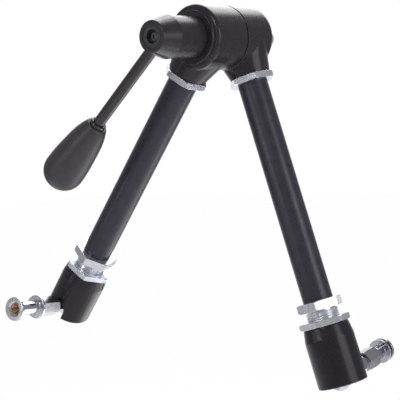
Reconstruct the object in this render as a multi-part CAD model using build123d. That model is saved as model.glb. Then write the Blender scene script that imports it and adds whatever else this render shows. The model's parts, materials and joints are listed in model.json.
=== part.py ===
from build123d import *
import math
import os

# An articulating friction arm. Two tubes hang from an elbow, each ends in a ball joint with a
# chromed stud, and one lever at the elbow locks the elbow and both balls. Millimetres.
# The origin is the middle of the base stud's gripped length, on its axis. +Z is up, and the
# elbow's axis runs along Y, with the lever at its -Y end.

# Elbow barrel, seen along its own axis
barrel_radius = 20.0
front_length = 30.6
rear_length = 28.5
rim_radius = 16.2
rim_height = 1.3
rim_slope = 0.4
front_rounding = 2.6
rear_rounding = 5.0
split_edge = 0.5
chamber_radius = 11.5
front_end_wall = 4.6
rear_end_wall = 2.3
release_travel = 0.5
pilot_wall = 2.0
pilot_length = 4.0
washer_thickness = 1.0
washer_inset = 1.2

# Clamping mechanism on the elbow's axis
bolt_radius = 5.0
bolt_head_radius = 8.5
bolt_head_thickness = 1.5
bolt_end_chamfer = 0.8
bolt_tail_radius = 4.0
bolt_tail_flats = 6.4
bolt_tail_room = 0.7
bolt_reach_in_knob = 16.0
wedge_angle = 30.0
wedge_large_radius = 11.0
wedge_rim = 0.4
wedge_length = 9.6
thrust_thickness = 1.5
thrust_inset = 0.5
spring_wire = 1.2
spring_pitch = 3.4
spring_room = 0.8
arm_from_wedge = 7.2
rear_boss_radius = 10.0
rear_boss_height = 7.0
rear_boss_blend = 1.5
cap_nut_flats = 13.0
cap_nut_hex = 7.5
cap_nut_height = 15.0
cap_nut_dome_radius = 6.25
cap_nut_thread = 11.0

# Knob, lever and handle
knob_radius = 13.0
knob_face_radius = 9.4
knob_length = 36.1
knob_cone_length = 12.8
knob_step = 0.35
knob_edge = 0.8
journal_radius = 8.5
cap_radius = 6.6
cap_thickness = 4.6
cap_recess = 0.5
cap_floor = 1.2
cap_well_radius = 4.2
cap_groove = 0.3
cap_step_radius = 5.1
cap_screw_radius = 2.7
cap_screw_shank = 1.5
cap_screw_head = 1.1
cap_screw_length = 5.0
cap_screw_flats = 2.6
cap_screw_socket = 0.8
lever_from_face = 9.4
lever_angle = 49.8
lever_radius = 3.7
lever_root = 6.8
lever_tang_radius = 3.0
lever_tang_length = 24.0
collar_radius = 5.2
collar_thickness = 2.4
collar_rounding = 0.7
handle_start = 75.6
handle_length = 55.7
handle_top_radius = 6.9
handle_top_edge = 0.7
handle_radius = 13.35
handle_upper = (0.745, 0.18)
handle_middle = (0.895, 0.42)
handle_top_slope = 0.45
insert_radius = 4.6
insert_length = 20.0

# Arms
front_angle = 38.4
rear_angle = 16.3
neck_wall = 3.2
neck_reach = 6.2
neck_end_angle = 13.5
neck_hidden_depth = 4.0
neck_blend_depth = 12.0
neck_draft = 0.02
neck_split_gap = 0.2
neck_end_gap = 0.8
neck_edge = 0.5
neck_sections = 8
tube_radius = 9.5
tube_wall = 2.0
tube_length = 158.2
tube_engagement = 12.0
upper_nut_flats = 25.5
upper_nut_thickness = 4.0
lower_nut_flats = 28.2
lower_nut_thickness = 3.8
nut_corner_slope = 0.5
nut_corner_depth = 0.55
fitting_flats = 25.6
fitting_hex = 5.7
fitting_plug = 13.0
thread_radius = 10.0
thread_depth = 0.8
thread_exposed = 6.2
thread_in_socket = 8.0
rod_radius = 3.0
rod_way = 0.4
guide_length = 6.0

# How far each arm's upper lock nut, end fitting and lower lock nut are turned
front_turns = (15.0, 45.0, 24.0)
rear_turns = (13.0, 37.0, 45.0)

# Ball joints
socket_radius = 15.5
socket_top_radius = 14.2
socket_shoulder = 8.0
socket_shoulder_rounding = 6.0
socket_length = 37.5
socket_edge = 0.9
ball_radius = 9.9
ball_lip = 5.1
seat_length = 11.0
seat_angle = 50.0
seat_rod_depth = 2.0
seat_spring_inset = 2.0
seat_spring_pitch = 2.4
stud_neck_radius = 4.4
stud_root = 18.0
stud_screw_radius = 3.0
stud_screw_length = 6.0
tilt_limit = 99.0
base_tilt = 98.5
head_tilt = 95.0

# Studs, along their own axis from the ball's centre
spigot_radius = 7.9
spigot_edge = 0.5
stud_hex_flats = 12.0
stud_hole_radius = 2.6
stud_hole_depth = 15.0
sleeve_radius = 3.9
sleeve_length = 6.0
sleeve_chamfer = 0.8
countersink_radius = 5.2
countersink_slope = 0.9
hex_outer_chamfer = 0.9
hex_inner_chamfer = 0.6
base_hex_step = 1.4
base_hex_end = 34.2
base_groove = 0.8
base_ring = 1.6
base_waist = 16.0
base_collar = 2.4
base_collar_radius = 5.6
base_tip = 2.2
head_collar = 4.0
head_collar_radius = 6.4
head_groove = 4.8
head_groove_radius = 5.0
head_hex = 13.7
head_waist = 9.5
head_ring = 1.6
head_gap = 2.0
head_gap_radius = 5.5
head_tip = 1.8

# Clearances
running = 0.05
sliding = 0.08
contact = 0.1
axial = 0.1
fine_edge = 0.4
through = 1.0

# Places along the elbow's axis, as distances from the dividing plane
half_washer = washer_thickness / 2
front_chamber_end = front_length - front_end_wall
rear_chamber_end = rear_length - rear_end_wall
thrust_place = front_chamber_end - release_travel - axial
front_wedge_place = thrust_place - thrust_thickness
rear_head_place = rear_chamber_end - bolt_tail_room - bolt_head_thickness
rear_wedge_place = rear_head_place - axial
rear_boss_end = rear_length + rear_boss_height
cap_nut_place = rear_boss_end + axial
bolt_tail_end = cap_nut_place + cap_nut_thread - axial
front_arm_offset = front_wedge_place - arm_from_wedge
rear_arm_offset = rear_wedge_place - arm_from_wedge
pilot_radius = chamber_radius + pilot_wall
knob_start = front_length + 3 * axial
knob_end = knob_start + knob_length
bolt_front_end = knob_start + bolt_reach_in_knob
lever_place = knob_end - lever_from_face
cap_top = knob_end - cap_recess
cap_bottom = cap_top - cap_thickness
screw_seat = cap_bottom + cap_floor

# Places along each arm, as distances from the elbow's axis
neck_radius = tube_radius + neck_wall
neck_end = barrel_radius + neck_reach
end_sine = math.sin(math.radians(neck_end_angle))
end_cosine = math.cos(math.radians(neck_end_angle))
sweep_room = barrel_radius - neck_end * end_sine - neck_radius * end_cosine
neck_sweep = (neck_end**2 + neck_radius**2 - barrel_radius**2) / (2 * sweep_room)
sweep_centre = (neck_end + neck_sweep * end_sine, neck_radius + neck_sweep * end_cosine)
sweep_start = sweep_centre[0] * barrel_radius / (barrel_radius + neck_sweep)
tube_top = neck_end - tube_engagement
tube_end = tube_top + tube_length
hex_end = tube_end + fitting_hex
lower_nut_place = hex_end + thread_exposed
socket_top = lower_nut_place + lower_nut_thickness
thread_end = socket_top + thread_in_socket
socket_end = socket_top + socket_length
ball_place = socket_end - ball_lip
cup_radius = ball_radius + contact
seat_bottom = ball_place - cup_radius * math.cos(math.radians(seat_angle))
seat_top = seat_bottom - seat_length
wedge_slope = math.tan(math.radians(wedge_angle))
wedge_radius_at_rod = wedge_large_radius - wedge_slope * (arm_from_wedge - wedge_rim)
tip_centre = wedge_radius_at_rod + (rod_radius + contact) / math.cos(math.radians(wedge_angle))

# Places along each stud, as distances from the ball's centre
ball_flat = math.sqrt(ball_radius**2 - stud_neck_radius**2)
sink_depth = (countersink_radius - sleeve_radius) * countersink_slope
base_ring_start = base_hex_end + base_groove
base_waist_start = base_ring_start + base_ring
base_collar_start = base_waist_start + base_waist
base_tip_start = base_collar_start + base_collar
base_tip_end = base_tip_start + base_tip
head_groove_start = stud_root + head_collar
head_hex_start = head_groove_start + head_groove
head_hex_end = head_hex_start + head_hex
head_ring_start = head_hex_end + head_waist
head_gap_start = head_ring_start + head_ring
head_tip_start = head_gap_start + head_gap
head_tip_end = head_tip_start + head_tip


def turned(corners):
    """A solid of revolution about Z from corners (radius, height, rounding)."""
    points = [(corner[0], corner[1]) for corner in corners]
    roundings = [corner[2] if len(corner) > 2 else 0 for corner in corners]
    if any(roundings):
        outline = FilletPolyline(*points, radius=roundings, close=True)
    else:
        outline = Polyline(*points, close=True)
    return revolve(Plane.XZ * make_face(outline), Axis.Z)


def rod(radius, start, end):
    """A plain round bar along Z between two heights."""
    bar = Cylinder(radius, end - start, align=(Align.CENTER, Align.CENTER, Align.MIN))
    return Pos(0, 0, start) * bar


def hexagon(flats, start, end, turn=0.0):
    """A hexagonal prism along Z between two heights, flats being the spanner size."""
    outline = RegularPolygon(flats / 2, 6, major_radius=False)
    return Pos(0, 0, start) * extrude(Rot(0, 0, turn) * outline, end - start)


def chamfered_hexagon(flats, start, end, turn=0.0):
    """A hexagonal prism with its corners turned off at both ends, as nuts are."""
    corner = flats / math.sqrt(3)
    depth = nut_corner_depth
    inner = corner - depth / nut_corner_slope
    envelope = turned(
        [(0, start), (inner, start), (corner, start + depth), (corner, end - depth), (inner, end), (0, end)]
    )
    return hexagon(flats, start, end, turn) & envelope


def coil(mean_radius, wire, pitch, start, end):
    """A helical spring along Z between two heights."""
    height = end - start - wire
    path = Pos(0, 0, start + wire / 2) * Helix(pitch, height, mean_radius)
    section = Plane(origin=path @ 0, z_dir=path % 0) * Circle(wire / 2)
    return sweep(section, path)


# The elbow's own axis: local Z points from the dividing plane to the front or to the rear
front_axis = Plane(origin=(0, 0, 0), x_dir=(0, 0, 1), z_dir=(0, -1, 0))
rear_axis = Plane(origin=(0, 0, 0), x_dir=(0, 0, 1), z_dir=(0, 1, 0))


def arm_direction(side, angle):
    """The unit vector down an arm, swung by an angle from straight down."""
    return Vector(side * math.sin(math.radians(angle)), 0, -math.cos(math.radians(angle)))


def arm_plane(side, offset, angle):
    """An arm's own frame: local Z runs down the arm, local X points away from the other arm."""
    return Plane(origin=(0, side * offset, 0), x_dir=(0, side, 0), z_dir=arm_direction(side, angle))


front_arm = arm_plane(-1, front_arm_offset, front_angle)
rear_arm = arm_plane(1, rear_arm_offset, rear_angle)


def neck_half_width(depth):
    """Half the neck's width at a distance from the elbow's axis: an arc that leaves the barrel
    along its surface and reaches the neck's end at the neck's own slope."""
    if depth >= sweep_start:
        return sweep_centre[1] - math.sqrt(neck_sweep**2 - (sweep_centre[0] - depth) ** 2)
    return math.sqrt(barrel_radius**2 - depth**2) - neck_draft * (sweep_start - depth)


def neck(length, offset):
    """The casting's neck in an arm's frame: it widens as it blends into the barrel."""
    widest = neck_half_width(neck_hidden_depth)
    inner_room = offset - half_washer - neck_split_gap - neck_radius
    outer_room = length - neck_end_gap - offset - neck_radius
    sections = []
    for number in range(neck_sections):
        depth = neck_hidden_depth + (neck_end - neck_hidden_depth) * number / (neck_sections - 1)
        half_width = neck_half_width(depth)
        spread = min(1.0, 2 * (half_width - neck_radius) / (widest - neck_radius))
        hidden = max(0.0, (neck_blend_depth - depth) / (neck_blend_depth - neck_hidden_depth))
        inner = -neck_radius - inner_room * spread
        outer = neck_radius + outer_room * hidden
        section = Pos((inner + outer) / 2, 0, depth) * Ellipse((outer - inner) / 2, half_width)
        sections.append(section)
    blend = loft(sections)
    return chamfer(blend.edges().group_by(Axis.Z)[-1], neck_edge)


def faced_neck(length, offset, arm, axis):
    """A casting's neck on its arm, cut off level with the face that meets the washer."""
    beyond = rod(2 * barrel_radius, -barrel_radius, half_washer)
    return arm.location * neck(length, offset) - axis.location * beyond


def arm_bore(casting, arm):
    """A casting less the tube's seat and the push rod's way to the wedge."""
    seat = rod(tube_radius + running, tube_top - axial, neck_end + through)
    way = rod(rod_radius + rod_way, 0, tube_top)
    return casting - arm.location * seat - arm.location * way


def front_casting():
    """The front half of the elbow, which holds the knob's journal and the front wedge."""
    shoulder = front_length - rim_height
    barrel = turned(
        [
            (0, half_washer),
            (barrel_radius, half_washer, split_edge),
            (barrel_radius, shoulder, front_rounding),
            (rim_radius + rim_slope, shoulder),
            (rim_radius, front_length, fine_edge),
            (0, front_length),
        ]
    )
    cavity = turned(
        [
            (0, 0),
            (pilot_radius + running, 0),
            (pilot_radius + running, half_washer + pilot_length + axial),
            (chamber_radius, half_washer + pilot_length + axial),
            (chamber_radius, front_chamber_end),
            (journal_radius + running, front_chamber_end),
            (journal_radius + running, front_length + through),
            (0, front_length + through),
        ]
    )
    body = front_axis.location * barrel
    body += faced_neck(front_length, front_arm_offset, front_arm, front_axis)
    return arm_bore(body - front_axis.location * cavity, front_arm)


def rear_casting():
    """The rear half of the elbow, with the pilot ring that turns in the front half."""
    barrel = turned(
        [
            (0, half_washer),
            (barrel_radius, half_washer, split_edge),
            (barrel_radius, rear_length, rear_rounding),
            (rear_boss_radius, rear_length, rear_boss_blend),
            (rear_boss_radius, rear_boss_end, split_edge),
            (0, rear_boss_end),
        ]
    )
    pilot = rod(pilot_radius, -half_washer - pilot_length, half_washer)
    cavity = rod(chamber_radius, -half_washer - pilot_length - through, rear_chamber_end)
    tail_way = tail_section(running, rear_chamber_end - through, rear_boss_end + through)
    body = rear_axis.location * (barrel + pilot)
    body += faced_neck(rear_length, rear_arm_offset, rear_arm, rear_axis)
    return arm_bore(body - rear_axis.location * (cavity + tail_way), rear_arm)


def tail_section(clearance, start, end):
    """The tie bolt's flatted tail, or the hole that keeps it from turning."""
    flats = Box(3 * bolt_tail_radius, bolt_tail_flats + 2 * clearance, end - start)
    return rod(bolt_tail_radius + clearance, start, end) & Pos(0, 0, (start + end) / 2) * flats


def friction_washer():
    """The thin disc between the two castings."""
    ring = rod(barrel_radius - washer_inset, -half_washer + axial / 4, half_washer - axial / 4)
    hole = rod(pilot_radius + 3 * contact, -washer_thickness, washer_thickness)
    return rear_axis.location * (ring - hole)


def tie_bolt():
    """The bolt through the elbow: head behind the rear wedge, flatted tail, thread in the knob."""
    shank = rod(bolt_radius, -bolt_front_end, rear_head_place)
    shank = chamfer(shank.edges().group_by(Axis.Z)[0], bolt_end_chamfer)
    head = rod(bolt_head_radius, rear_head_place, rear_head_place + bolt_head_thickness)
    tail = tail_section(0, rear_head_place + bolt_head_thickness, bolt_tail_end)
    return rear_axis.location * (shank + head + tail)


def cap_nut():
    """The domed nut on the tie bolt's tail, which bears on the boss at the elbow's rear end."""
    end = cap_nut_place + cap_nut_height
    dome_centre = end - cap_nut_dome_radius
    blank = chamfered_hexagon(cap_nut_flats, cap_nut_place, cap_nut_place + cap_nut_hex)
    blank += rod(cap_nut_dome_radius, cap_nut_place, dome_centre)
    blank += Pos(0, 0, dome_centre) * Sphere(cap_nut_dome_radius)
    bore = rod(bolt_tail_radius + running, cap_nut_place - through, cap_nut_place + cap_nut_thread)
    return rear_axis.location * (blank - bore)


def wedge(place):
    """A wedge cone in an elbow half's own axis frame, with its large end outwards at a place."""
    start = place - wedge_length
    small = wedge_large_radius - wedge_slope * (wedge_length - wedge_rim)
    cone = turned(
        [
            (0, start),
            (small, start),
            (wedge_large_radius, place - wedge_rim),
            (wedge_large_radius, place),
            (0, place),
        ]
    )
    return cone - rod(bolt_radius + running, start - through, place + through)


def wedge_spring():
    """The spring around the tie bolt that parts the two wedges."""
    start = wedge_length + axial - front_wedge_place
    end = rear_wedge_place - wedge_length - axial
    mean_radius = bolt_radius + spring_room + spring_wire / 2
    return rear_axis.location * coil(mean_radius, spring_wire, spring_pitch, start, end)


def thrust_washer():
    """The washer between the turning knob and the front wedge."""
    ring = rod(chamber_radius - thrust_inset, front_wedge_place + axial / 4, thrust_place - axial / 4)
    return front_axis.location * (ring - rod(bolt_radius + running, 0, front_length))


def lever_line():
    """The lever's frame: local Z runs out of the knob along the lever."""
    angle = math.radians(lever_angle)
    direction = (-math.sin(angle), 0, -math.cos(angle))
    return Plane(origin=(0, -lever_place, 0), x_dir=(0, 1, 0), z_dir=direction)


lever = lever_line()


def knob():
    """The knob that runs on the tie bolt's thread: a cylinder, a cone and a dished face."""
    cone_start = knob_end - knob_cone_length
    body = turned(
        [
            (0, thrust_place),
            (journal_radius, thrust_place),
            (journal_radius, knob_start),
            (knob_radius - knob_step, knob_start, fine_edge),
            (knob_radius - knob_step, cone_start - knob_step),
            (knob_radius, cone_start, knob_step),
            (knob_face_radius, knob_end, knob_edge),
            (cap_radius + running, knob_end, knob_step),
            (cap_radius + running, cap_bottom),
            (0, cap_bottom),
        ]
    )
    thread = rod(bolt_radius + running, thrust_place - through, bolt_front_end + through)
    screw_way = rod(cap_screw_shank + running, screw_seat - cap_screw_length - axial, knob_end)
    lever_hole = rod(lever_radius + running, lever_root - running, 2 * knob_radius)
    return front_axis.location * (body - thread - screw_way) - lever.location * lever_hole


def knob_cap():
    """The disc pressed into the knob's face, with a turned groove and a well for its screw."""
    disc = turned(
        [
            (0, cap_bottom),
            (cap_radius, cap_bottom),
            (cap_radius, cap_top),
            (cap_step_radius + cap_groove, cap_top),
            (cap_step_radius, cap_top - cap_groove),
            (cap_well_radius, cap_top - cap_groove),
            (cap_well_radius, screw_seat),
            (0, screw_seat),
        ]
    )
    return front_axis.location * (disc - rod(cap_screw_shank + running, cap_bottom - through, cap_top))


def knob_screw():
    """The socket head screw at the bottom of the cap's well."""
    head_top = screw_seat + cap_screw_head
    head = rod(cap_screw_radius, screw_seat, head_top)
    head = chamfer(head.edges().group_by(Axis.Z)[-1], cap_groove)
    shank = rod(cap_screw_shank, screw_seat - cap_screw_length, screw_seat)
    socket_hole = hexagon(cap_screw_flats, head_top - cap_screw_socket, head_top + through)
    return front_axis.location * (head + shank - socket_hole)


def lever_rod():
    """The steel lever, screwed into the knob and running up inside the handle."""
    bar = rod(lever_radius, lever_root, handle_start)
    tang = rod(lever_tang_radius, handle_start, handle_start + lever_tang_length)
    return lever.location * (bar + tang)


def lever_collar():
    """The small ring that closes the handle's top."""
    start = handle_start - collar_thickness
    ring = turned(
        [
            (lever_radius + running, start),
            (collar_radius, start, collar_rounding),
            (collar_radius, handle_start - axial / 2),
            (lever_radius + running, handle_start - axial / 2),
        ]
    )
    return lever.location * ring


def handle():
    """The drop-shaped handle, bored for its threaded insert and the lever."""
    end = handle_start + handle_length
    top = handle_start + handle_top_edge
    widest = end - handle_radius
    flank = Spline(
        (handle_top_radius, top),
        (handle_upper[0] * handle_radius, handle_start + handle_upper[1] * handle_length),
        (handle_middle[0] * handle_radius, handle_start + handle_middle[1] * handle_length),
        (handle_radius, widest),
        tangents=[(handle_top_slope, 1), (0, 1)],
    )
    cap = CenterArc((0, widest), handle_radius, 0, 90)
    inner_rim = handle_top_radius - handle_top_edge
    rim = Polyline((0, end), (0, handle_start), (inner_rim, handle_start), (handle_top_radius, top))
    body = revolve(Plane.XZ * make_face(flank + cap + rim), Axis.Z)
    tang_end = handle_start + lever_tang_length
    tang_way = rod(lever_tang_radius + running, handle_start - through, tang_end + through)
    insert_end = handle_start + insert_length
    insert_way = rod(insert_radius + running, handle_start - through, insert_end + axial)
    return lever.location * (body - tang_way - insert_way)


def handle_insert():
    """The brass sleeve moulded into the handle, which takes the lever's thread."""
    sleeve = rod(insert_radius, handle_start, handle_start + insert_length)
    return lever.location * (sleeve - rod(lever_tang_radius + running, 0, 2 * handle_start))


def lock_nut(flats, bore, start, thickness, turn):
    """A thin hexagonal lock nut in an arm's frame."""
    blank = chamfered_hexagon(flats, start, start + thickness, turn)
    return blank - rod(bore + running, start - through, start + thickness + through)


def upper_lock_nut(turn):
    """The nut that locks the tube against the casting's neck."""
    return lock_nut(upper_nut_flats, tube_radius, neck_end + axial / 2, upper_nut_thickness, turn)


def lower_lock_nut(turn):
    """The nut that locks the socket on the end fitting's thread."""
    return lock_nut(lower_nut_flats, thread_radius, lower_nut_place, lower_nut_thickness - axial / 2, turn)


def tube():
    """The arm's tube."""
    outside = rod(tube_radius, tube_top, tube_end)
    return outside - rod(tube_radius - tube_wall, tube_top - through, tube_end + through)


def rod_guide():
    """The bush inside the tube's top that keeps the push rod central."""
    ring = rod(tube_radius - tube_wall - running, tube_top, tube_top + guide_length)
    return ring - rod(rod_radius + sliding, 0, tube_end)


def push_rod():
    """The rod down the tube: its ball end rides on the wedge, its foot presses the ball seat."""
    shank = rod(rod_radius, tip_centre, seat_top + seat_rod_depth - contact)
    return shank + Pos(0, 0, tip_centre) * Sphere(rod_radius)


def end_fitting(turn):
    """The plug in the tube's end, with a spanner hexagon and the socket's thread."""
    plug = rod(tube_radius - tube_wall - running, tube_end - fitting_plug, tube_end)
    flange = chamfered_hexagon(fitting_flats, tube_end + axial / 2, hex_end, turn)
    relief = rod(thread_radius - thread_depth, tube_end, thread_end)
    thread = rod(thread_radius, hex_end + thread_depth, thread_end)
    thread = chamfer(thread.edges().group_by(Axis.Z)[-1], thread_depth)
    body = plug + flange + relief + thread
    return body - rod(rod_radius + sliding, 0, thread_end + through)


def ball_socket():
    """The cup that holds the ball: open at its end, and slotted on its outer side."""
    outside = turned(
        [
            (0, socket_top),
            (socket_top_radius, socket_top, socket_edge),
            (socket_radius, socket_top + socket_shoulder, socket_shoulder_rounding),
            (socket_radius, socket_end, socket_edge),
            (0, socket_end),
        ]
    )
    thread = rod(thread_radius + running, socket_top - through, thread_end + axial)
    bore = rod(cup_radius, socket_top, ball_place)
    cup = Pos(0, 0, ball_place) * Sphere(cup_radius)
    mouth = rod(math.sqrt(cup_radius**2 - ball_lip**2), ball_place, socket_end + through)
    return outside - thread - bore - cup - mouth - slot()


def slot():
    """The stud's way through the socket's wall, from the open end to a round end level with
    the ball's centre, wide enough for the stud to tilt a little past square."""
    over = math.radians(tilt_limit - 90)
    half = socket_radius * math.tan(over) + stud_neck_radius / math.cos(over) + contact
    depth = 2 * socket_radius
    length = socket_end + through - ball_place
    straight = Pos(depth / 2, 0, ball_place + length / 2) * Box(depth, 2 * half, length)
    across = Cylinder(half, depth, align=(Align.CENTER, Align.CENTER, Align.MIN))
    return straight + Pos(0, 0, ball_place) * Rot(0, 90, 0) * across


def ball_seat():
    """The hollow-ended plunger that the push rod presses on the ball."""
    body = rod(cup_radius - running, seat_top, seat_bottom)
    body -= Pos(0, 0, ball_place) * Sphere(cup_radius)
    return body - rod(rod_radius + running, seat_top - through, seat_top + seat_rod_depth)


def seat_spring():
    """The spring that keeps the seat lightly on the ball when the lever is loose."""
    mean_radius = cup_radius - seat_spring_inset
    return coil(mean_radius, spring_wire, seat_spring_pitch, thread_end + axial, seat_top - axial)


def ball():
    """The ball in its own frame: a flat and a screw hole face the stud, along local Z."""
    body = Sphere(ball_radius) - rod(ball_radius, ball_flat, ball_radius + through)
    screw_end = ball_flat - stud_screw_length - axial
    return body - rod(stud_screw_radius + running, screw_end, ball_flat + through)


def stud_blank(corners):
    """A turned stud with its screw end; corners run outwards from the ball."""
    start = [(0, ball_flat - stud_screw_length), (stud_screw_radius, ball_flat - stud_screw_length)]
    start += [(stud_screw_radius, ball_flat), (stud_neck_radius, ball_flat)]
    return turned(start + corners)


def tip_hole(end):
    """The countersunk threaded hole in a stud's end, with room for its brass sleeve."""
    hole = rod(stud_hole_radius, end - stud_hole_depth, end + through)
    bottom = end - sink_depth
    room = rod(sleeve_radius + running, bottom - sleeve_length, end + through)
    sink = turned([(0, bottom), (sleeve_radius, bottom), (countersink_radius, end), (0, end)])
    return hole + room + sink


def stud_sleeve(end):
    """The brass threaded sleeve in a stud's end."""
    top = end - sink_depth
    chamfer_start = top - sleeve_chamfer
    body = rod(sleeve_radius, top - sleeve_length + axial / 2, top)
    body = body - rod(stud_hole_radius, end - stud_hole_depth, end + through)
    mouth = [(0, chamfer_start), (stud_hole_radius, chamfer_start)]
    mouth += [(stud_hole_radius + sleeve_chamfer, top), (0, top)]
    return body - turned(mouth)


def base_stud():
    """The long stud: spanner hexagon, ring, long waist and tip disc."""
    corner = stud_hex_flats / math.sqrt(3)
    edge = spigot_edge
    blank = stud_blank(
        [
            (stud_neck_radius, stud_root),
            (corner - hex_outer_chamfer, stud_root),
            (corner, stud_root + hex_outer_chamfer),
            (corner, base_hex_end - hex_inner_chamfer),
            (corner - hex_inner_chamfer, base_hex_end),
            (corner - base_hex_step, base_hex_end),
            (corner - base_hex_step, base_ring_start),
            (spigot_radius, base_ring_start, edge),
            (spigot_radius, base_waist_start, edge),
            (stud_neck_radius, base_waist_start, fine_edge),
            (stud_neck_radius, base_collar_start, fine_edge),
            (base_collar_radius, base_collar_start, fine_edge),
            (base_collar_radius, base_tip_start),
            (spigot_radius, base_tip_start, edge),
            (spigot_radius, base_tip_end, edge),
            (0, base_tip_end),
        ]
    )
    hexed = hexagon(stud_hex_flats, stud_root, base_hex_end)
    rest = rod(barrel_radius, 0, stud_root) + rod(barrel_radius, base_hex_end, base_tip_end)
    return (blank & (hexed + rest)) - tip_hole(base_tip_end)


def head_stud():
    """The short stud: collar, groove, spanner hexagon, waist, ring and tip disc."""
    corner = stud_hex_flats / math.sqrt(3)
    edge = spigot_edge
    blank = stud_blank(
        [
            (stud_neck_radius, stud_root),
            (head_collar_radius, stud_root, edge),
            (head_collar_radius, head_groove_start, edge),
            (head_groove_radius, head_groove_start),
            (head_groove_radius, head_hex_start),
            (corner - hex_inner_chamfer, head_hex_start),
            (corner, head_hex_start + hex_inner_chamfer),
            (corner, head_hex_end - hex_outer_chamfer),
            (corner - hex_outer_chamfer, head_hex_end),
            (stud_neck_radius, head_hex_end, fine_edge),
            (stud_neck_radius, head_ring_start, fine_edge),
            (spigot_radius, head_ring_start, edge),
            (spigot_radius, head_gap_start, edge),
            (head_gap_radius, head_gap_start),
            (head_gap_radius, head_tip_start),
            (spigot_radius, head_tip_start, edge),
            (spigot_radius, head_tip_end, edge),
            (0, head_tip_end),
        ]
    )
    hexed = hexagon(stud_hex_flats, head_hex_start, head_hex_end)
    rest = rod(barrel_radius, 0, head_hex_start) + rod(barrel_radius, head_hex_end, head_tip_end)
    return (blank & (hexed + rest)) - tip_hole(head_tip_end)


def stud_plane(arm, tilt):
    """A stud's frame: the origin is the ball's centre and local Z runs out along the stud,
    tilted from straight down the arm towards the arm's outer side."""
    angle = math.radians(tilt)
    down = arm.z_dir
    out = arm.x_dir
    direction = down * math.cos(angle) + out * math.sin(angle)
    return Plane(origin=arm.origin + down * ball_place, x_dir=arm.y_dir, z_dir=direction)


base_line = stud_plane(front_arm, base_tilt)
head_line = stud_plane(rear_arm, head_tilt)
base_grip_middle = (base_ring_start + base_tip_end) / 2
origin_shift = Pos(-(base_line.origin + base_line.z_dir * base_grip_middle))


def arm_pieces(name, arm, turns):
    """The pieces that both arms have, placed on one of them."""
    place = arm.location
    return {
        name + "_upper_lock_nut": place * upper_lock_nut(turns[0]),
        name + "_tube": place * tube(),
        name + "_rod_guide": place * rod_guide(),
        name + "_push_rod": place * push_rod(),
        name + "_end_fitting": place * end_fitting(turns[1]),
        name + "_lower_lock_nut": place * lower_lock_nut(turns[2]),
        name + "_ball_socket": place * ball_socket(),
        name + "_ball_seat": place * ball_seat(),
        name + "_seat_spring": place * seat_spring(),
    }


def all_pieces():
    """Every piece of the arm, by name, before the origin is moved to the base stud."""
    pieces = {
        "front_elbow_casting": front_casting(),
        "rear_elbow_casting": rear_casting(),
        "friction_washer": friction_washer(),
        "tie_bolt": tie_bolt(),
        "cap_nut": cap_nut(),
        "front_wedge": front_axis.location * wedge(front_wedge_place),
        "rear_wedge": rear_axis.location * wedge(rear_wedge_place),
        "wedge_spring": wedge_spring(),
        "thrust_washer": thrust_washer(),
        "knob": knob(),
        "knob_cap": knob_cap(),
        "knob_screw": knob_screw(),
        "lever_rod": lever_rod(),
        "lever_collar": lever_collar(),
        "handle": handle(),
        "handle_insert": handle_insert(),
    }
    pieces.update(arm_pieces("front", front_arm, front_turns))
    pieces.update(arm_pieces("rear", rear_arm, rear_turns))
    pieces["base_ball"] = base_line.location * ball()
    pieces["base_stud"] = base_line.location * base_stud()
    pieces["base_stud_sleeve"] = base_line.location * stud_sleeve(base_tip_end)
    pieces["head_ball"] = head_line.location * ball()
    pieces["head_stud"] = head_line.location * head_stud()
    pieces["head_stud_sleeve"] = head_line.location * stud_sleeve(head_tip_end)
    return pieces


os.makedirs("parts", exist_ok=True)
for name, piece in all_pieces().items():
    export_step(origin_shift * piece, "parts/" + name + ".step")
    print(name, round(piece.volume, 1))
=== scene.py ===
# %% [markdown]
# # An articulating friction arm, dressed for its portrait
#
# The arm is a workshop object: two black tubes hang from a cast elbow, a lever at the elbow's
# front locks everything, and each tube ends in a ball joint with a chromed stud. Its shapes come
# from a CAD model that is already packed, and each CAD piece stands where it belongs. This lesson
# gives every piece a believable finish, adds the small forms that the CAD leaves out, such as
# screw threads, and lights it as a studio would.

import json
import math

import bpy
import numpy as np
from mathutils import Matrix, Vector

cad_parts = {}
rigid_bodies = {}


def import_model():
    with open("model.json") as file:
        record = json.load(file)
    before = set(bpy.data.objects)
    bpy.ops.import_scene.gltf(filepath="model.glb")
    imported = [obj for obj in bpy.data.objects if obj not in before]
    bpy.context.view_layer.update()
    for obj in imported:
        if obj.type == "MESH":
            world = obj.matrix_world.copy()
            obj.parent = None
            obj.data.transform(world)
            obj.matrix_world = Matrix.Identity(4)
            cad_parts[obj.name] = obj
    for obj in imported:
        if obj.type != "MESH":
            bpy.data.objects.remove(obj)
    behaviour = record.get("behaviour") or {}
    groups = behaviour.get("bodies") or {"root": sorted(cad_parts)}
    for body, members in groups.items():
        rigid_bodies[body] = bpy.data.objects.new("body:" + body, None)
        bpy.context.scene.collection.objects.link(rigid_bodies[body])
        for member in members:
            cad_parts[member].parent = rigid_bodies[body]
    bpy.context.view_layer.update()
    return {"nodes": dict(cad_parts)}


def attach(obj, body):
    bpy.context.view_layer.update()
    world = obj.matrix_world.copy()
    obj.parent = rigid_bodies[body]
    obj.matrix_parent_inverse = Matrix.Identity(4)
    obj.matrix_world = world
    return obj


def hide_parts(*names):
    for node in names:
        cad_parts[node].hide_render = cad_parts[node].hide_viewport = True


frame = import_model()

# %% [markdown]
# ## Where things are
#
# Every length is in metres and every piece shares one frame, so a handful of points and
# directions is enough to place anything. The elbow's centre is the turning joint's place. Each
# arm runs down from there in a plane of its own: 16.7 mm in front of the dividing plane or behind
# it, swung outwards by its own angle. It would be possible to measure the meshes instead, but
# named numbers are easier to read and to change.

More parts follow.
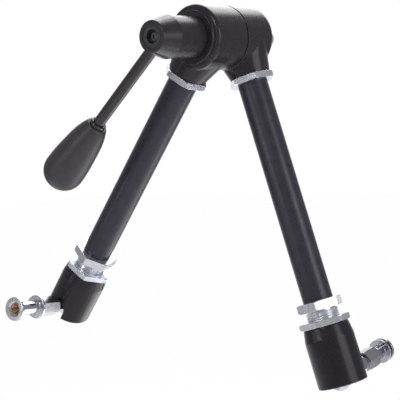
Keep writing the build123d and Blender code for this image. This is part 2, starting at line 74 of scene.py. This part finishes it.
# %% The object's own points and directions
MM = 0.001
elbow = np.array([0.1327306, 0.0622936, 0.1674643])
arm_offset = 16.7 * MM
base_ball_centre = np.array([-0.0042325, 0.0455936, -0.0053401])
head_ball_centre = np.array([0.1946176, 0.0789936, -0.0441728])


def unit(vector):
    """The vector divided by its own length."""
    vector = np.asarray(vector, dtype=float)
    return vector / np.linalg.norm(vector)


def axes_along(direction, sideways):
    """Three unit vectors as rows: across, the third, and the direction itself. The first is
    `sideways` with its part along the direction taken away."""
    z = unit(direction)
    x = unit(np.asarray(sideways, dtype=float) - np.dot(sideways, z) * z)
    return np.array([x, np.cross(z, x), z])


def down_the_arm(side, degrees):
    """An arm's frame: where it starts, and axes whose last one runs down the arm."""
    angle = math.radians(degrees)
    direction = [side * math.sin(angle), 0.0, -math.cos(angle)]
    return elbow + [0.0, side * arm_offset, 0.0], axes_along(direction, [0.0, side, 0.0])


front_arm = down_the_arm(-1, 38.4)
rear_arm = down_the_arm(1, 16.3)
arm_of = {"front": front_arm, "rear": rear_arm}


def stud_line(arm, ball_centre, degrees):
    """A stud's frame: the ball's centre, and axes whose last one runs out along the stud. The
    stud leans by an angle from straight down its arm towards the arm's outer side."""
    angle = math.radians(degrees)
    x, y, z = arm[1]
    return ball_centre, axes_along(z * math.cos(angle) + x * math.sin(angle), y)


base_line = stud_line(front_arm, base_ball_centre, 98.5)
head_line = stud_line(rear_arm, head_ball_centre, 95.0)
elbow_line = elbow, axes_along([0.0, -1.0, 0.0], [0.0, 0.0, 1.0])
print("base stud points along", np.round(base_line[1][2], 3))

# %% [markdown]
# ## The camera
#
# The photograph was taken with a longish lens from the front and a little to the right, almost
# level with the elbow. The camera's place and its three directions were worked out from the
# ellipses and edges in the picture, so they are written down here as they are, and the camera's
# matrix is put together from them. A tracking constraint would be another way, but it can't hold
# the slight roll.

# %% Camera
camera_data = bpy.data.cameras.new("camera")
camera_data.lens = 96.32
camera_data.sensor_width = 36.0
camera_data.clip_start = 0.01
camera = bpy.data.objects.new("camera", camera_data)
bpy.context.scene.collection.objects.link(camera)
camera_right = unit([0.77266, 0.63139, -0.06595])
camera_up = unit([0.0, 0.10388, 0.99459])
camera_back = np.cross(camera_right, camera_up)
camera_place = elbow + [0.4119, -0.5313, -0.0459]
camera_turn = Matrix(np.column_stack([camera_right, camera_up, camera_back]).tolist())
camera.matrix_world = Matrix.Translation(Vector(camera_place)) @ camera_turn.to_4x4()
bpy.context.scene.camera = camera
print("camera distance from the elbow:", round(float(np.linalg.norm(camera_place - elbow)), 4))

# %% [markdown]
# ## Studio
#
# A catalogue picture of a black and chromed object is a picture of its surroundings: what shows
# is mostly their reflection in the gloss. The ground is white to the camera and to mirrors, and
# the sky gives soft, slightly cool light. The floor lies well below the object, and keeps its
# shadow. A curved paper backdrop would be the usual way, but a flat floor under a white sky
# looks the same and has no seam from any side.

# %% The sky


def link(tree, source, target):
    """Joins an output socket to an input socket."""
    tree.links.new(source, target)


def new_node(tree, kind, **settings):
    """A node of a kind, with its own settings given by name."""
    node = tree.nodes.new(kind)
    for setting, value in settings.items():
        setattr(node, setting, value)
    return node


def seen_directly(tree):
    """A value of 1 for rays from the camera, mirrors and glass, and 0 for rays of soft light."""
    path = new_node(tree, "ShaderNodeLightPath")
    two_kinds = new_node(tree, "ShaderNodeMath", operation="MAXIMUM")
    link(tree, path.outputs["Is Camera Ray"], two_kinds.inputs[0])
    link(tree, path.outputs["Is Glossy Ray"], two_kinds.inputs[1])
    three_kinds = new_node(tree, "ShaderNodeMath", operation="MAXIMUM")
    link(tree, two_kinds.outputs[0], three_kinds.inputs[0])
    link(tree, path.outputs["Is Transmission Ray"], three_kinds.inputs[1])
    return three_kinds.outputs[0]


def mix_into(tree, amount, first, second, output):
    """Two shaders mixed into an output: the first where the amount is 0, the second where 1."""
    mix = new_node(tree, "ShaderNodeMixShader")
    link(tree, amount, mix.inputs[0])
    link(tree, first.outputs[0], mix.inputs[1])
    link(tree, second.outputs[0], mix.inputs[2])
    link(tree, mix.outputs[0], output.inputs[0])


world = bpy.data.worlds.new("studio")
bpy.context.scene.world = world
world.use_nodes = True
world_tree = world.node_tree
world_tree.nodes.clear()
soft_sky = new_node(world_tree, "ShaderNodeBackground")
soft_sky.inputs["Color"].default_value = (0.93, 0.95, 1.0, 1.0)
soft_sky.inputs["Strength"].default_value = 0.65
white_sky = new_node(world_tree, "ShaderNodeBackground")
white_sky.inputs["Color"].default_value = (1.0, 1.0, 1.0, 1.0)
white_sky.inputs["Strength"].default_value = 1.0
world_out = new_node(world_tree, "ShaderNodeOutputWorld")
mix_into(world_tree, seen_directly(world_tree), soft_sky, white_sky, world_out)
print("sky strength in soft light:", round(soft_sky.inputs["Strength"].default_value, 2))

# %% The floor
floor_height = -0.32
floor_half = 4.0
white_share = 0.97
floor_corners = floor_half * np.array([[-1, -1], [1, -1], [1, 1], [-1, 1]], dtype=float)
floor_points = np.column_stack([floor_corners, np.full(4, floor_height)])
floor_mesh = bpy.data.meshes.new("floor")
floor_mesh.from_pydata(floor_points.tolist(), [], [(0, 1, 2, 3)])
floor = bpy.data.objects.new("floor", floor_mesh)
bpy.context.scene.collection.objects.link(floor)

paper = bpy.data.materials.new("white_paper")
paper.use_nodes = True
paper_tree = paper.node_tree
paper_tree.nodes.clear()
paper_matt = new_node(paper_tree, "ShaderNodeBsdfDiffuse")
paper_matt.inputs["Color"].default_value = (0.92, 0.92, 0.92, 1.0)
paper_glow = new_node(paper_tree, "ShaderNodeEmission")
paper_glow.inputs["Strength"].default_value = 1.0
paper_share = new_node(paper_tree, "ShaderNodeMath", operation="MULTIPLY")
paper_share.inputs[1].default_value = white_share
link(paper_tree, seen_directly(paper_tree), paper_share.inputs[0])
paper_out = new_node(paper_tree, "ShaderNodeOutputMaterial")
mix_into(paper_tree, paper_share.outputs[0], paper_matt, paper_glow, paper_out)
floor_mesh.materials.append(paper)
print("floor at z =", floor_height)

# %% [markdown]
# ## Softboxes, cloths and mats
#
# Seven softboxes light the object. The largest hangs behind and above it and whitens the top
# edges, and one lies low behind it and lifts the undersides. Two stand to the right for the broad
# sheen, and three small ones on the left draw the thin bright lines on the barrel and the tubes.
# In an all-white room chrome would vanish and black paint would turn milky, so dark grey cloth
# hangs in between, in pieces of one sphere that is left open behind the object and low down. Two
# pieces high up behind it glow instead, for the elbow's bright upper rim, and mats on the floor
# are what the studs mirror from below. Only gloss meets a cloth or a mat, so each can have the
# tone that its reflection needs, and the light on the object stays as it is.

# %% Places around the object
object_middle = elbow + [0.0, -0.02, -0.10]


def seen_from_object(sideways, upwards, distance):
    """Places given by two angles from the line between object and camera: positive sideways is
    to the camera's right, positive upwards is above it. The angles may be arrays."""
    turn = np.radians(np.asarray(sideways, dtype=float))[..., None]
    rise = np.radians(np.asarray(upwards, dtype=float))[..., None]
    level = np.cos(rise) * (np.cos(turn) * camera_back + np.sin(turn) * camera_right)
    return object_middle + distance * (level + np.sin(rise) * camera_up)


print("the room's middle is at", np.round(object_middle, 3))


# %% Softboxes
def softbox(name, sideways, upwards, distance, width, height, watts):
    """A rectangular area lamp, turned to face the object. The camera doesn't see it."""
    lamp = bpy.data.lights.new(name, "AREA")
    lamp.shape = "RECTANGLE"
    lamp.size = width
    lamp.size_y = height
    lamp.energy = watts
    holder = bpy.data.objects.new(name, lamp)
    bpy.context.scene.collection.objects.link(holder)
    place = seen_from_object(sideways, upwards, distance)
    look = Vector(object_middle - place).to_track_quat("-Z", "Y")
    holder.matrix_world = Matrix.Translation(Vector(place)) @ look.to_matrix().to_4x4()
    holder.visible_camera = False


# name, sideways, upwards, distance, width, height, watts
for softbox_values in (
    ("behind_top", 180, 50, 0.85, 1.7, 0.7, 8.2),
    ("front_left_top", -31, 26, 0.85, 0.12, 0.2, 1.1),
    ("right", 45, 18, 0.85, 0.34, 0.3, 0.7),
    ("right_wide", 51, 4, 0.9, 0.70, 0.75, 2.9),
    ("left_front", -57, 0, 0.85, 0.44, 0.14, 0.65),
    ("left_low", -78, -13, 0.85, 0.10, 0.14, 0.12),
    ("below", 140, -50, 0.42, 0.5, 0.3, 0.8),
):
    softbox(*softbox_values)

# %% Grey cloths and mats
cloth_tint = (1.01, 0.98, 1.05)
cloth_grey = 0.31
tent_radius = 0.95
tent_columns = 33
tent_rows = 17
mat_lift = 1 * MM


def tent_cloth(name, points, grey):
    """A cloth of one grey over a grid of points. Only the gloss meets it: camera, soft light
    and shadows pass through."""
    index = np.arange(points.shape[0] * points.shape[1]).reshape(points.shape[:2])
    quads = np.stack([index[:-1, :-1], index[:-1, 1:], index[1:, 1:], index[1:, :-1]], axis=-1)
    mesh = bpy.data.meshes.new(name)
    mesh.from_pydata(points.reshape(-1, 3).tolist(), [], quads.reshape(-1, 4).tolist())
    wall = bpy.data.objects.new(name, mesh)
    bpy.context.scene.collection.objects.link(wall)
    wall.visible_camera = False
    wall.visible_diffuse = False
    wall.visible_transmission = False
    wall.visible_shadow = False
    cloth = bpy.data.materials.new(name)
    cloth.use_nodes = True
    cloth.node_tree.nodes.clear()
    glow = new_node(cloth.node_tree, "ShaderNodeEmission")
    glow.inputs["Color"].default_value = (*cloth_tint, 1.0)
    glow.inputs["Strength"].default_value = grey
    out = new_node(cloth.node_tree, "ShaderNodeOutputMaterial")
    link(cloth.node_tree, glow.outputs[0], out.inputs[0])
    mesh.materials.append(cloth)


def tent_wall(name, left, right, low, high, grey):
    """Part of a sphere around the object, between two sideways and two upward angles."""
    sideways, upwards = np.meshgrid(
        np.linspace(left, right, tent_columns), np.linspace(low, high, tent_rows)
    )
    tent_cloth(name, seen_from_object(sideways, upwards, tent_radius), grey)


def tent_mat(name, left, right, behind, front, grey):
    """A rectangle just above the floor, by its distances to the camera's right and towards it."""
    sideways, forwards = np.meshgrid(np.array([left, right]), np.array([behind, front]))
    level_right = unit(camera_right * [1.0, 1.0, 0.0])
    level_front = unit(camera_back * [1.0, 1.0, 0.0])
    points = sideways[..., None] * level_right + forwards[..., None] * level_front
    points = points + object_middle * [1.0, 1.0, 0.0] + [0.0, 0.0, floor_height + mat_lift]
    tent_cloth(name, points, grey)


# name, left, right, low and high in degrees, grey
tent_wall("tent_left", -148, 15, -27, 88, cloth_grey)
tent_wall("tent_right", 15, 145, -27, 32, cloth_grey)
tent_wall("tent_right_upper", 15, 133, 32, 54, cloth_grey)
tent_wall("tent_right_top", 15, 104, 54, 88, cloth_grey)
# name, left, right, behind and front in metres, grey
tent_mat("mat_left", -1.2, 0.03, -0.05, 1.3, 0.8)
tent_mat("mat_front_right", 0.03, 0.33, 0.11, 1.3, 0.85)
tent_mat("mat_right", 0.03, 0.33, -0.12, 0.11, 1.45)
tent_mat("mat_far_right", 0.33, 0.6, -0.12, 0.5, 0.85)
tent_mat("mat_behind", 0.15, 1.2, -0.9, -0.12, 0.35)
# two cloths that glow
tent_wall("glow_top", 106, 200, 60, 76, 5.0)
tent_wall("glow_behind", 134, 205, 34, 60, 1.2)
cloth_names = ("tent_", "mat_", "glow_")
cloths = [thing for thing in bpy.data.objects if thing.name.startswith(cloth_names)]
print("cloths and mats:", len(cloths))

# %% [markdown]
# ## A kit for finishes
#
# Paint, plating and plastic differ in a few things only: colour, how rough the surface is, how
# both vary over a few millimetres, what fine relief catches the light, and what handling does to
# the edges. So one recipe builds them all. It reads the piece's own Object coordinates, which
# stay with the piece when it moves. A Bevel node rounds the edges for the light, as tumbling and
# coating do on the real thing, and comparing its direction with the flat face's own tells where
# an edge is, so that the coat can be thinner and paler there. Where that paleness is made strong,
# as on the elbow casting, it is also a painted highlight along the edges. Painting edge masks by
# hand would look much the same, but it would need maps, and the recipe works on any shape.


# %% Small node helpers
def turned_coordinates(tree, line):
    """Object coordinates moved and turned, so that Z runs along a line's own direction."""
    origin, axes = line
    coordinates = new_node(tree, "ShaderNodeTexCoord")
    mapping = new_node(tree, "ShaderNodeMapping", vector_type="POINT")
    mapping.inputs["Rotation"].default_value = Matrix(axes.tolist()).to_euler("XYZ")
    mapping.inputs["Location"].default_value = tuple(-(axes @ origin))
    link(tree, coordinates.outputs["Object"], mapping.inputs["Vector"])
    return mapping.outputs["Vector"]


def stretched(tree, vector, scale):
    """Coordinates multiplied along each of their own directions."""
    mapping = new_node(tree, "ShaderNodeMapping", vector_type="POINT")
    mapping.inputs["Scale"].default_value = scale
    link(tree, vector, mapping.inputs["Vector"])
    return mapping.outputs["Vector"]


def noise(tree, vector, size, detail=2.0):
    """Soft random values between 0 and 1, with spots of about the size given in metres."""
    node = new_node(tree, "ShaderNodeTexNoise")
    node.inputs["Scale"].default_value = 1.0 / size
    node.inputs["Detail"].default_value = detail
    link(tree, vector, node.inputs["Vector"])
    return node.outputs["Fac"]


def spread(tree, value, low, high, start=0.3, end=0.7):
    """A value's span from start to end, laid out from low to high."""
    node = new_node(tree, "ShaderNodeMapRange")
    node.inputs["From Min"].default_value = start
    node.inputs["From Max"].default_value = end
    node.inputs["To Min"].default_value = low
    node.inputs["To Max"].default_value = high
    link(tree, value, node.inputs["Value"])
    return node.outputs["Result"]


def blend_colours(tree, amount, first, second):
    """A colour between two, each of them four numbers or a socket."""
    node = new_node(tree, "ShaderNodeMix", data_type="RGBA")
    link(tree, amount, node.inputs["Factor"])
    for name, colour in (("A", first), ("B", second)):
        socket = [entry for entry in node.inputs if entry.name == name and entry.type == "RGBA"][0]
        if isinstance(colour, tuple):
            socket.default_value = colour
        else:
            link(tree, colour, socket)
    return [entry for entry in node.outputs if entry.type == "RGBA"][0]


def shade(colour, factor):
    """A colour made lighter or darker, as the four numbers that a socket takes."""
    return tuple(min(1.0, channel * factor) for channel in colour) + (1.0,)


# %% The finish recipe
coat_roughness = 0.12
least_roughness = 0.02


def finish(
    name,
    colour,
    roughness,
    line,
    metallic=0.0,
    variation=0.15,
    patch=6 * MM,
    rough_change=0.06,
    grain=0.5 * MM,
    grain_height=0.01 * MM,
    marks=None,
    edge=0.35 * MM,
    edge_light=1.0,
    coat=0.0,
    specular=0.5,
    second_colour=None,
):
    """A material: patches of colour and roughness, grain, tool marks, and paler edges: wear, and
    where made strong, a painted highlight.

    colour times 1 - variation to 1 + variation, patch by patch, or towards second_colour;
    roughness plus or minus rough_change, patch by patch;
    height = grain noise, plus noise stretched by marks = (along, across, height) on the line;
    where the rounded edge's direction leaves the flat face's, colour times edge_light."""
    material = bpy.data.materials.new(name)
    material.use_nodes = True
    tree = material.node_tree
    shader = tree.nodes["Principled BSDF"]
    shader.inputs["Metallic"].default_value = metallic
    shader.inputs["Specular IOR Level"].default_value = specular
    shader.inputs["Coat Weight"].default_value = coat
    shader.inputs["Coat Roughness"].default_value = coat_roughness
    place = turned_coordinates(tree, line)

    patches = noise(tree, place, patch, detail=3.0)
    other = shade(second_colour, 1.0) if second_colour else shade(colour, 1.0 + variation)
    painted = blend_colours(
        tree, spread(tree, patches, 0.0, 1.0), shade(colour, 1.0 - variation), other
    )

    bevel = new_node(tree, "ShaderNodeBevel", samples=4)
    bevel.inputs["Radius"].default_value = edge
    flat = new_node(tree, "ShaderNodeNewGeometry")
    agreement = new_node(tree, "ShaderNodeVectorMath", operation="DOT_PRODUCT")
    link(tree, bevel.outputs["Normal"], agreement.inputs[0])
    link(tree, flat.outputs["Normal"], agreement.inputs[1])
    edge_mask = spread(tree, agreement.outputs["Value"], 1.0, 0.0, start=0.75, end=0.99)
    # paler edges: wear on the coat, and where edge_light is strong, a painted highlight
    edge_wear_and_highlight = blend_colours(tree, edge_mask, painted, shade(colour, edge_light))
    link(tree, edge_wear_and_highlight, shader.inputs["Base Color"])

    scuffs = noise(tree, place, patch / 3, detail=4.0)
    smooth = max(least_roughness, roughness - rough_change)
    rough = spread(tree, scuffs, smooth, roughness + rough_change)
    link(tree, rough, shader.inputs["Roughness"])

    height = noise(tree, place, grain, detail=2.0)
    bump = new_node(tree, "ShaderNodeBump")
    bump.inputs["Strength"].default_value = 1.0
    bump.inputs["Distance"].default_value = grain_height
    link(tree, height, bump.inputs["Height"])
    link(tree, bevel.outputs["Normal"], bump.inputs["Normal"])
    relief = bump.outputs["Normal"]
    if marks:
        along, across, mark_height = marks
        drawn = stretched(tree, place, (1.0 / across, 1.0 / across, 1.0 / along))
        lines = noise(tree, drawn, 1.0, detail=1.0)
        scored = new_node(tree, "ShaderNodeBump")
        scored.inputs["Strength"].default_value = 1.0
        scored.inputs["Distance"].default_value = mark_height
        link(tree, lines, scored.inputs["Height"])
        link(tree, relief, scored.inputs["Normal"])
        relief = scored.outputs["Normal"]
    link(tree, relief, shader.inputs["Normal"])
    return material


# %% [markdown]
# ## Black paint on cast metal
#
# The elbow's two halves, the knob and the ball sockets are die-cast or turned metal under a thin
# satin black coat. Such a coat isn't quite smooth: it has a very fine orange peel, about a
# millimetre from crest to crest, and a micron or less high. It lies thinner on edges, where it
# looks a touch paler; on the elbow casting the edges are made paler still, as a painted highlight
# along its rims. The tubes are anodised instead, so they show the faint lengthwise lines of
# the drawing die and a cooler black. The lever's steel rod is the glossiest: a black oxide under
# clear lacquer, which the coat stands for.

# %% Black finishes
black_gloss = 0.38
socket_gloss = 0.8 * black_gloss
casting_black = finish(
    "black_casting",
    (0.019, 0.0155, 0.020),
    0.25,
    elbow_line,
    specular=black_gloss,
    grain=0.9 * MM,
    grain_height=0.0009 * MM,
    edge=0.5 * MM,
    # edges much paler: thinner coat, and a painted highlight along the elbow's rims
    edge_light=3.0,
)
socket_black = {
    name: finish(
        "black_socket_" + name,
        (0.013, 0.0105, 0.0145),
        0.25,
        arm,
        specular=socket_gloss,
        grain=0.8 * MM,
        grain_height=0.0005 * MM,
        edge=0.4 * MM,
        edge_light=1.8,
    )
    for name, arm in arm_of.items()
}
tube_black = {
    name: finish(
        "black_tube_" + name,
        (0.022, 0.020, 0.030),
        0.32,
        arm,
        specular=black_gloss,
        grain=0.5 * MM,
        grain_height=0.0003 * MM,
        marks=(30 * MM, 0.5 * MM, 0.0002 * MM),
        edge_light=1.6,
    )
    for name, arm in arm_of.items()
}
knob_black = finish(
    "black_knob",
    (0.019, 0.0155, 0.0195),
    0.28,
    elbow_line,
    specular=black_gloss,
    grain=0.8 * MM,
    grain_height=0.0008 * MM,
    edge=0.3 * MM,
    edge_light=1.9,
)
lever_black = finish(
    "black_steel",
    (0.018, 0.015, 0.0155),
    0.16,
    elbow_line,
    specular=black_gloss,
    grain=0.5 * MM,
    grain_height=0.001 * MM,
    coat=0.4,
    edge_light=1.6,
)
print("black finishes made")

# %% [markdown]
# ## Plating and bare metal
#
# The lock nuts and end fittings carry bright zinc, which is a little blue, with cloudy patches
# from the bath. The studs are polished and chromed, so they mirror the white floor and the dark
# cloths, and turning has left rings around them that are finer than a hair. The head stud and its
# ball get a darker chrome colour than the base stud's, as painted shade for the darker reflection
# they show. Plain steel and brass inside show the same rings, less polished, and the brass is
# coloured darker than bare brass, as painted shade inside the studs' bores. Real anisotropic gloss
# would be the other way to draw such rings, but here the fine relief does it on every view.

# %% Metal finishes
zinc_plate = {
    name: finish(
        "zinc_" + name,
        (0.69, 0.73, 0.79),
        0.22,
        arm,
        metallic=0.9,
        variation=0.10,
        patch=3 * MM,
        rough_change=0.08,
        second_colour=(0.78, 0.78, 0.80),
        grain=0.25 * MM,
        grain_height=0.0006 * MM,
        marks=(0.12 * MM, 3 * MM, 0.0004 * MM),
        edge_light=1.25,
    )
    for name, arm in (*arm_of.items(), ("elbow", elbow_line))
}
chrome_plate = {
    name: finish(
        "chrome_" + name,
        colour,
        0.15,
        line,
        metallic=1.0,
        variation=0.04,
        rough_change=0.04,
        grain=0.6 * MM,
        grain_height=0.0002 * MM,
        marks=(0.10 * MM, 4 * MM, 0.0003 * MM),
        edge=0.25 * MM,
        edge_light=1.1,
    )
    for name, line, colour in (
        ("base", base_line, (0.62, 0.63, 0.66)),
        # the head's darker chrome is painted shade, for the darker reflection on that stud and ball
        ("head", head_line, (0.46, 0.47, 0.50)),
    )
}
plain_steel = {
    name: finish(
        "steel_" + name,
        (0.50, 0.50, 0.52),
        0.28,
        line,
        metallic=1.0,
        variation=0.10,
        grain=0.3 * MM,
        grain_height=0.003 * MM,
        marks=(0.15 * MM, 3 * MM, 0.004 * MM),
        edge_light=1.2,
    )
    for name, line in (("elbow", elbow_line), *arm_of.items())
}
screw_black = finish(
    "black_screw",
    (0.16, 0.15, 0.155),
    0.18,
    elbow_line,
    metallic=1.0,
    grain=0.2 * MM,
    grain_height=0.001 * MM,
    edge=0.1 * MM,
    edge_light=1.2,
)
turned_brass = {
    name: finish(
        "brass_" + name,
        # darker than bare brass: painted shade inside the studs' bores
        (0.36, 0.235, 0.145),
        0.30,
        line,
        metallic=1.0,
        variation=0.16,
        patch=1.5 * MM,
        second_colour=(0.46, 0.33, 0.22),
        grain=0.2 * MM,
        grain_height=0.003 * MM,
        marks=(0.12 * MM, 2 * MM, 0.003 * MM),
        edge=0.12 * MM,
        edge_light=1.15,
    )
    for name, line in (("elbow", elbow_line), ("base", base_line), ("head", head_line))
}
print("metal finishes made")

# %% [markdown]
# ## Plastics
#
# The handle is a moulded grip with an even, dry grain that hardly shines. The cap in the knob's
# face is a smoother black plastic, and the hidden seats and bushes are natural nylon, which is
# off-white and slightly waxy.

# %% Plastic finishes
handle_plastic = finish(
    "handle_black",
    (0.026, 0.0225, 0.027),
    0.42,
    elbow_line,
    variation=0.10,
    grain=0.35 * MM,
    grain_height=0.03 * MM,
    edge_light=1.3,
    specular=0.55,
)
cap_plastic = finish(
    "cap_black",
    (0.026, 0.025, 0.026),
    0.30,
    elbow_line,
    grain=0.4 * MM,
    grain_height=0.005 * MM,
    edge=0.2 * MM,
    edge_light=1.5,
)
nylon_plastic = finish(
    "nylon",
    (0.82, 0.81, 0.76),
    0.42,
    elbow_line,
    variation=0.03,
    grain=0.4 * MM,
    grain_height=0.01 * MM,
    edge_light=1.05,
)
print("materials:", len(bpy.data.materials))

# %% [markdown]
# ## Dressing the CAD pieces
#
# A CAD piece keeps its mesh and gets a finish in its material slots. Flat faces must stay flat
# and round ones smooth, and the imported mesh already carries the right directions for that, so
# nothing else is touched.

# %% Which piece wears which finish
wears = {
    "front_elbow_casting": casting_black,
    "rear_elbow_casting": casting_black,
    "friction_washer": cap_plastic,
    "tie_bolt": zinc_plate["elbow"],
    "cap_nut": zinc_plate["elbow"],
    "front_wedge": plain_steel["elbow"],
    "rear_wedge": plain_steel["elbow"],
    "wedge_spring": plain_steel["elbow"],
    "thrust_washer": plain_steel["elbow"],
    "knob": knob_black,
    "knob_cap": cap_plastic,
    "knob_screw": screw_black,
    "lever_rod": lever_black,
    "lever_collar": lever_black,
    "handle": handle_plastic,
    "handle_insert": turned_brass["elbow"],
    "base_ball": chrome_plate["base"],
    "head_ball": chrome_plate["head"],
    "base_stud": chrome_plate["base"],
    "head_stud": chrome_plate["head"],
    "base_stud_sleeve": turned_brass["base"],
    "head_stud_sleeve": turned_brass["head"],
}
for name in arm_of:
    wears[name + "_upper_lock_nut"] = zinc_plate[name]
    wears[name + "_lower_lock_nut"] = zinc_plate[name]
    wears[name + "_end_fitting"] = zinc_plate[name]
    wears[name + "_tube"] = tube_black[name]
    wears[name + "_ball_socket"] = socket_black[name]
    wears[name + "_push_rod"] = plain_steel[name]
    wears[name + "_seat_spring"] = plain_steel[name]
    wears[name + "_rod_guide"] = nylon_plastic
    wears[name + "_ball_seat"] = plain_steel[name]

for name, piece in frame["nodes"].items():
    for material_slot in piece.material_slots:
        material_slot.material = wears[name]
    if not piece.material_slots:
        piece.data.materials.append(wears[name])
print("dressed", len(frame["nodes"]), "CAD pieces")
print("none left out:", set(wears) == set(frame["nodes"]))

# %% [markdown]
# ## Surfaces from arrays
#
# Each new form is a surface over two parameters: one runs around the piece's axis, the other
# along its outline. Both are laid out as a grid, the formula is worked out for the whole grid at
# once, and neighbouring points are joined by quads. If both directions close on themselves, the
# result is a ring with no open edge, like a doughnut of any section.


# %% From a grid of points to a piece
sharp_angle = math.radians(40.0)


def closed_ring(name, points, finish_material, body):
    """A ring piece from a grid of points: rows close on themselves, and so do columns.

    Each quad joins point (i, j) with (i, j+1), (i+1, j+1) and (i+1, j), counted round."""
    rows, columns = points.shape[:2]
    index = np.arange(rows * columns).reshape(rows, columns)
    right = np.roll(index, -1, axis=1)
    below = np.roll(index, -1, axis=0)
    corner = np.roll(below, -1, axis=1)
    quads = np.stack([index, right, corner, below], axis=-1).reshape(-1, 4)
    mesh = bpy.data.meshes.new(name)
    mesh.from_pydata(points.reshape(-1, 3).tolist(), [], quads.tolist())
    mesh.validate()
    mesh.shade_smooth()
    mesh.set_sharp_from_angle(angle=sharp_angle)
    mesh.materials.append(finish_material)
    piece = bpy.data.objects.new(name, mesh)
    bpy.context.scene.collection.objects.link(piece)
    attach(piece, body)
    print(name, "quads:", len(quads), "size mm:", np.round(np.ptp(points, axis=(0, 1)) / MM, 1))
    return piece


def around(line, radius, height, angle):
    """Points in space from radius, height and angle about a line: origin + radius cos(angle) x
    + radius sin(angle) y + height z."""
    origin, (x, y, z) = line
    radius, height, angle = np.broadcast_arrays(radius, height, angle)
    return (
        origin
        + (radius * np.cos(angle))[..., None] * x
        + (radius * np.sin(angle))[..., None] * y
        + height[..., None] * z
    )


# %% [markdown]
# ## Screw threads
#
# A thread is a ridge that climbs one pitch per turn. Its height at a point depends only on
# height / pitch - angle / one turn: as that number passes from one whole to the next, the
# surface goes up a flank and down the other. The fittings' exposed threads get ridges on top of
# the CAD core. The brass sleeves are remade with the groove cut into their wall, because there
# the thread is what one sees inside the stud's mouth. A swept profile along a helix is the usual
# way, but it leaves the ends open, and this one closes by itself.


# %% The thread's form
def ridge(height, angle, pitch, flat=0.2):
    """How far up the ridge a point lies, 0 in the groove and 1 on the crest: a triangle wave of
    height / pitch - angle / one turn, cut off at both ends to leave flats."""
    phase = np.mod(height / pitch - angle / (2 * math.pi), 1.0)
    triangle = 1.0 - np.abs(2.0 * phase - 1.0)
    return np.clip((triangle - flat / 2) / (1.0 - flat), 0.0, 1.0)


def fade(height, start, end, reach):
    """1 along the thread, falling to 0 over the reach at either end."""
    return np.clip(np.minimum(height - start, end - height) / reach, 0.0, 1.0)


# %% Threads on the two end fittings
turn_steps = 96
thread_rows = 64
thread_core = 10.0 * MM
thread_start = 178.95 * MM
thread_stop = 184.25 * MM
thread_pitch = 1.5 * MM
thread_height = 0.35 * MM
thread_sunk = 0.25 * MM
thread_fade = 0.4 * MM
groove_sunk = 0.02 * MM


def full_turn():
    """The angles of one turn, as a row."""
    return np.linspace(0, 2 * math.pi, turn_steps, endpoint=False)[None, :]


def fitting_thread(name, line, body):
    """A thin ring on the fitting's core: the outside is core + ridge height, the inside lies
    in the core."""
    angle = full_turn()
    height = np.linspace(thread_start, thread_stop, thread_rows)[:, None]
    rise = ridge(height, angle, thread_pitch) * fade(height, thread_start, thread_stop, thread_fade)
    outside = thread_core - groove_sunk + thread_height * rise
    inside = np.full((2, turn_steps), thread_core - thread_sunk)
    inside_height = np.array([thread_stop, thread_start])[:, None]
    points = np.concatenate(
        [around(line, outside, height, angle), around(line, inside, inside_height, angle)]
    )
    closed_ring(name, points, zinc_plate[name.split("_")[0]], body)


fitting_thread("front_fitting_thread", front_arm, "front_arm")
fitting_thread("rear_fitting_thread", rear_arm, "rear_arm")

# %% The brass sleeves, with their threads cut
sleeve_outside = 3.9 * MM
sleeve_minor = 2.6 * MM
sleeve_major = 3.175 * MM
sleeve_length = 5.95 * MM
sleeve_pitch = 1.27 * MM
sleeve_recess = 1.17 * MM
sleeve_edge = 0.1 * MM
mouth_chamfer = 0.8 * MM
bore_rows = 72
bore_start = 0.05 * MM
bore_thread_end = 0.4 * MM
bore_fade = 0.5 * MM
row_gap = 0.01 * MM
stud_end = {"base": 57.2 * MM, "head": 55.4 * MM}


def threaded_sleeve(name, node, line, end, finish_material):
    """A threaded bush: up the bore's thread, over the chamfer, down the outer wall and in along
    the bottom. The bore's radius is the minor radius plus groove depth times 1 - ridge."""
    top = end - sleeve_recess
    bottom = top - sleeve_length
    angle = full_turn()
    bore_height = np.linspace(bottom + bore_start, top - mouth_chamfer, bore_rows)[:, None]
    cut = fade(bore_height, bottom, top - bore_thread_end, bore_fade)
    depth = (1.0 - ridge(bore_height, angle, sleeve_pitch)) * cut
    bore = sleeve_minor + (sleeve_major - sleeve_minor) * depth
    outline = np.array(
        [
            [sleeve_minor, top - mouth_chamfer + row_gap],
            [sleeve_minor + mouth_chamfer, top],
            [sleeve_outside - sleeve_edge, top],
            [sleeve_outside, top - sleeve_edge],
            [sleeve_outside, bottom],
            [sleeve_minor + sleeve_edge, bottom],
        ]
    )
    points = np.concatenate(
        [
            around(line, bore, bore_height, angle),
            around(line, outline[:, :1], outline[:, 1:], angle),
        ]
    )
    piece = closed_ring(name, points, finish_material, node.replace("_sleeve", ""))
    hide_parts(node)


for name, line in (("base", base_line), ("head", head_line)):
    threaded_sleeve(
        name + "_threaded_sleeve", name + "_stud_sleeve", line, stud_end[name], turned_brass[name]
    )

# %% [markdown]
# ## The end
#
# The render shows its colours through the Standard view transform.

bpy.context.scene.view_settings.view_transform = "Standard"
